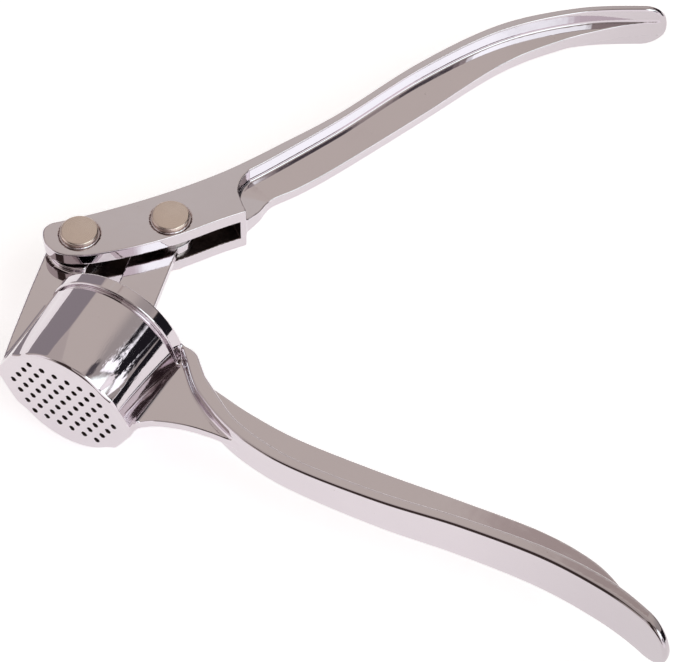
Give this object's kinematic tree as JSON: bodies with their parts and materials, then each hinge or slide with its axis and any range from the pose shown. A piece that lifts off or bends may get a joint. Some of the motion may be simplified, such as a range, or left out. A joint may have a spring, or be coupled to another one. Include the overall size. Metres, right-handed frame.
{
  "type": "hand-operated garlic press",
  "caption": "Hand press with a sieve-bottomed cup, a swinging plunger and curved levers riveted at a forked head, shown half open.",
  "frame": {"origin": "bottom centre of the press's bounding box as it lies on its side, half open", "axes": "+Y along the cup's axis from the sieve to the mouth, +Z along both rivets (the tool's thickness), +X along the lower handle away from the cup"},
  "size_m": [0.1782, 0.1784, 0.0348],
  "materials": {
    "plated_casting": "bright chrome plate on die-cast zinc",
    "plated_plunger": "bright chrome plate",
    "nickel_rivet": "satin nickel plate",
    "steel_washer": "plain steel"
  },
  "bodies": {
    "lower": {"lower_lever": "plated_casting"},
    "upper": {"upper_lever": "plated_casting", "main_rivet_post": "nickel_rivet", "main_rivet_pin": "nickel_rivet", "plunger_rivet_post": "nickel_rivet", "plunger_rivet_pin": "nickel_rivet", "eye_washer_upper": "steel_washer", "eye_washer_lower": "steel_washer", "stem_spacer_upper": "steel_washer", "stem_spacer_lower": "steel_washer"},
    "plunger": {"plunger_stem": "plated_plunger", "press_disc": "plated_plunger"}
  },
  "joints": [
    {"name": "main_hinge", "type": "hinge", "parent": "lower", "child": "upper", "pos_m": [-0.08089, -0.0493, 0.0174], "axis": [0, 0, 1], "range_deg": [-54, 14]},
    {"name": "plunger_swing", "type": "hinge", "parent": "upper", "child": "plunger", "pos_m": [-0.0646, -0.03452, 0.0174], "axis": [0, 0, 1], "range_deg": [-12, 43]}
  ],
  "couplings": [
    {"joint": "plunger_swing", "follows": "main_hinge", "ratio": -0.775}
  ]
}
